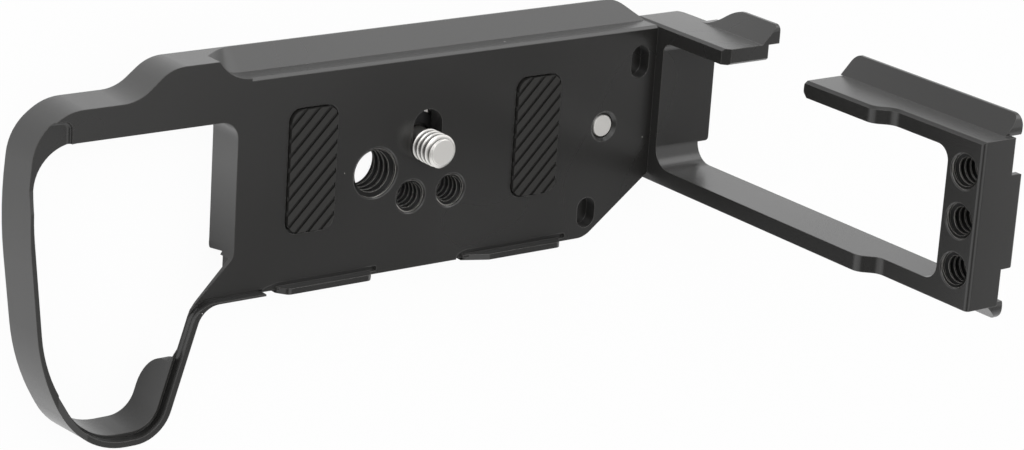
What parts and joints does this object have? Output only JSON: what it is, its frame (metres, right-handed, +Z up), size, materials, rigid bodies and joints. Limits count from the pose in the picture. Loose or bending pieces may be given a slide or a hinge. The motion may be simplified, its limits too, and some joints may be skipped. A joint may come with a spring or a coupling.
{
  "type": "vertical camera bracket",
  "caption": "L-shaped camera bracket: a seat plate with a grip loop and clamp rail, and a side plate with its own rail that slides out of it.",
  "frame": {"origin": "underside of the base plate, on the middle line of the clamp rails, at the camera screw's slot", "axes": "+Z up out of the seat, +X towards the side plate, +Y towards the camera's back"},
  "size_m": [0.1488, 0.0682, 0.0945],
  "materials": {
    "anodised_aluminium": "bead-blasted satin black anodising",
    "pad_rubber": "matt black rubber",
    "stainless_steel": "bright turned",
    "spring_steel": "plain stamped strip",
    "black_steel": "black oxide"
  },
  "bodies": {
    "base": {"base_plate": "anodised_aluminium", "left_grip_pad": "pad_rubber", "right_grip_pad": "pad_rubber", "screw_clip": "spring_steel", "clamp_screws": "black_steel", "clamp_washers": "black_steel"},
    "side": {"side_plate": "anodised_aluminium"},
    "washer": {"screw_washer": "black_steel"},
    "screw": {"camera_screw": "stainless_steel"},
    "pin": {"locating_pin": "stainless_steel"}
  },
  "joints": [
    {"name": "side_plate_slide", "type": "slide", "parent": "base", "child": "side", "axis": [1, 0, 0], "range_m": [0, 0.014]},
    {"name": "screw_slot_slide", "type": "slide", "parent": "base", "child": "washer", "axis": [0, 1, 0], "range_m": [0, 0.0036]},
    {"name": "screw_spin", "type": "hinge", "parent": "washer", "child": "screw", "pos_m": [0, -0.00185, 0], "axis": [0, 0, 1], "continuous": true},
    {"name": "pin_raise", "type": "slide", "parent": "base", "child": "pin", "axis": [0, 0, 1], "range_m": [0, 0.0019]}
  ]
}
